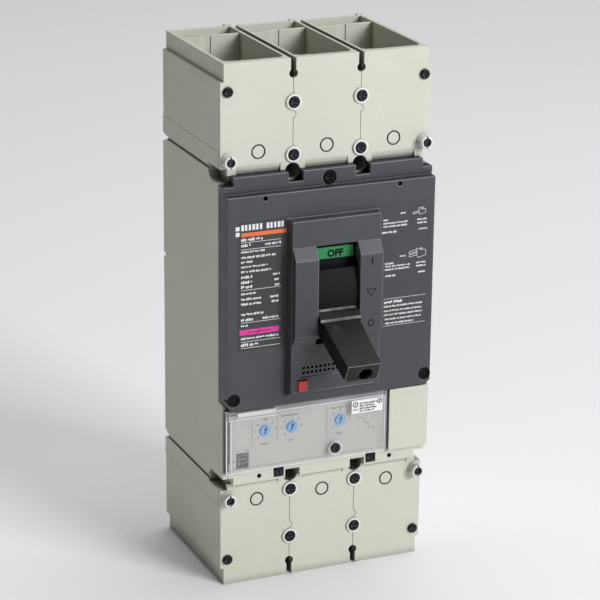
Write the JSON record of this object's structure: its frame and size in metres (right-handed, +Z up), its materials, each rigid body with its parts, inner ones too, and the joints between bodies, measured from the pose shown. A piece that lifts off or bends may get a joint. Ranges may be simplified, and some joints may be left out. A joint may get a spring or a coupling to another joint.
{
  "type": "molded case circuit breaker",
  "caption": "Fixed molded case breaker with long terminal shields, toggle handle, raised nose and a trip unit under a clear lid.",
  "frame": {"origin": "centre of the four fixing holes, on the rear mounting plane", "axes": "+X to the right seen from the front, +Y back into the panel, +Z up, along the line side"},
  "size_m": [0.14, 0.1597, 0.3416],
  "materials": {
    "black_plastic": "satin black moulded plastic",
    "board_green": "circuit board laminate",
    "clear_lid": "clear moulded polycarbonate",
    "copper": "bare copper",
    "cover_plastic": "satin dark grey moulded plastic",
    "dial_blue": "translucent blue plastic",
    "flag_green": "matte coloured plastic",
    "light_plastic": "fine textured warm light grey moulded plastic",
    "red_plastic": "gloss red plastic",
    "rotor_plastic": "glass filled thermoset",
    "screw_black": "black zinc plated screws",
    "silver": "silver contact alloy",
    "spring_steel": "drawn spring wire",
    "steel": "zinc plated steel",
    "tinned": "tin plated aluminium",
    "trip_grey": "matte mid grey plastic",
    "white_label": "white printed label",
    "zinc_screw": "bright zinc plated steel"
  },
  "bodies": {
    "breaker": {"base": "light_plastic", "front_cover": "cover_plastic", "shield_upper_left": "light_plastic", "shield_upper_middle": "light_plastic", "shield_upper_right": "light_plastic", "shield_lower_left": "light_plastic", "shield_lower_middle": "light_plastic", "shield_lower_right": "light_plastic", "seam_screws": "screw_black", "seam_screw_collars": "light_plastic", "corner_screws": "screw_black", "sealing_screws": "light_plastic", "cover_screw": "screw_black", "cover_plugs": "black_plastic", "trip_unit_housing": "light_plastic", "trip_face_plate": "trip_grey", "test_connector": "black_plastic", "label_bar": "white_label", "trip_unit_screws": "screw_black", "circuit_board": "board_green", "trip_actuator": "black_plastic", "current_transformers": "rotor_plastic", "mechanism_side_plates": "steel", "cradle": "steel", "pole_cassette_left": "rotor_plastic", "pole_cassette_middle": "rotor_plastic", "pole_cassette_right": "rotor_plastic", "fixed_contact_pads": "silver", "arc_chute_plates": "steel", "line_conductors": "copper", "load_conductors": "copper", "cable_lugs": "tinned", "lug_bolts": "zinc_screw", "lug_clamp_screws": "zinc_screw", "button_spring": "spring_steel"},
    "toggle": {"handle": "black_plastic", "shutter": "black_plastic", "status_flags": "flag_green", "yoke": "steel", "yoke_pins": "zinc_screw", "main_springs": "spring_steel"},
    "drive_link": {"drive_links": "steel"},
    "contact_shaft": {"rotor_left": "black_plastic", "rotor_middle": "black_plastic", "rotor_right": "black_plastic", "contact_arm_left": "copper", "contact_arm_middle": "copper", "contact_arm_right": "copper", "moving_contact_pads": "silver", "drive_rods": "zinc_screw"},
    "lid": {"trip_lid": "clear_lid", "rating_sticker": "white_label"},
    "captive_screw": {"lid_screw": "black_plastic"},
    "dial_left": {"dial_1": "dial_blue"},
    "dial_centre": {"dial_2": "dial_blue"},
    "dial_right": {"dial_3": "dial_blue"},
    "button": {"trip_button": "red_plastic"},
    "tripping_bar": {"trip_bar": "black_plastic"},
    "latch_lever": {"latch": "steel"},
    "plunger": {"trip_plunger": "zinc_screw"}
  },
  "joints": [
    {"name": "toggle_turn", "type": "hinge", "parent": "breaker", "child": "toggle", "pos_m": [0, -0.079, 0.0238], "axis": [-1, 0, 0], "range_deg": [0, 52]},
    {"name": "contact_shaft_turn", "type": "hinge", "parent": "breaker", "child": "contact_shaft", "pos_m": [0, -0.034, 0.015], "axis": [-1, 0, 0], "range_deg": [0, 52]},
    {"name": "drive_link_turn", "type": "hinge", "parent": "toggle", "child": "drive_link", "pos_m": [0, -0.08286, 0.0383], "axis": [-1, 0, 0], "range_deg": [-52, 0]},
    {"name": "lid_hinge", "type": "hinge", "parent": "breaker", "child": "lid", "pos_m": [-0.0683, -0.1049, -0.0698], "axis": [0, 0, -1], "range_deg": [0, 95]},
    {"name": "lid_screw_turn", "type": "hinge", "parent": "lid", "child": "captive_screw", "pos_m": [0.0047, -0.108, -0.083], "axis": [0, 1, 0], "range_deg": [0, 90]},
    {"name": "dial_1_turn", "type": "hinge", "parent": "breaker", "child": "dial_left", "pos_m": [-0.042, -0.103, -0.0658], "axis": [0, 1, 0], "range_deg": [-135, 135]},
    {"name": "dial_2_turn", "type": "hinge", "parent": "breaker", "child": "dial_centre", "pos_m": [-0.0237, -0.103, -0.0658], "axis": [0, 1, 0], "range_deg": [-135, 135]},
    {"name": "dial_3_turn", "type": "hinge", "parent": "breaker", "child": "dial_right", "pos_m": [0.0096, -0.103, -0.066], "axis": [0, 1, 0], "range_deg": [-135, 135]},
    {"name": "button_push", "type": "slide", "parent": "breaker", "child": "button", "axis": [0, 1, 0], "range_m": [0, 0.0025], "stiffness_N_per_m": 400, "springref_m": -0.0025, "deforming": ["button_spring"]},
    {"name": "trip_bar_turn", "type": "hinge", "parent": "breaker", "child": "tripping_bar", "pos_m": [0, -0.09, -0.029], "axis": [1, 0, 0], "range_deg": [0, 20]},
    {"name": "latch_turn", "type": "hinge", "parent": "breaker", "child": "latch_lever", "pos_m": [0, -0.074, -0.024], "axis": [-1, 0, 0], "range_deg": [0, 10.5]},
    {"name": "plunger_stroke", "type": "slide", "parent": "breaker", "child": "plunger", "axis": [0, 0, 1], "range_m": [0, 0.0028]}
  ],
  "couplings": [
    {"joint": "contact_shaft_turn", "follows": "toggle_turn", "ratio": 1},
    {"joint": "drive_link_turn", "follows": "toggle_turn", "ratio": -1},
    {"joint": "trip_bar_turn", "follows": "button_push", "rad_per_m": 139.49},
    {"joint": "latch_turn", "follows": "button_push", "rad_per_m": 73.231}
  ]
}
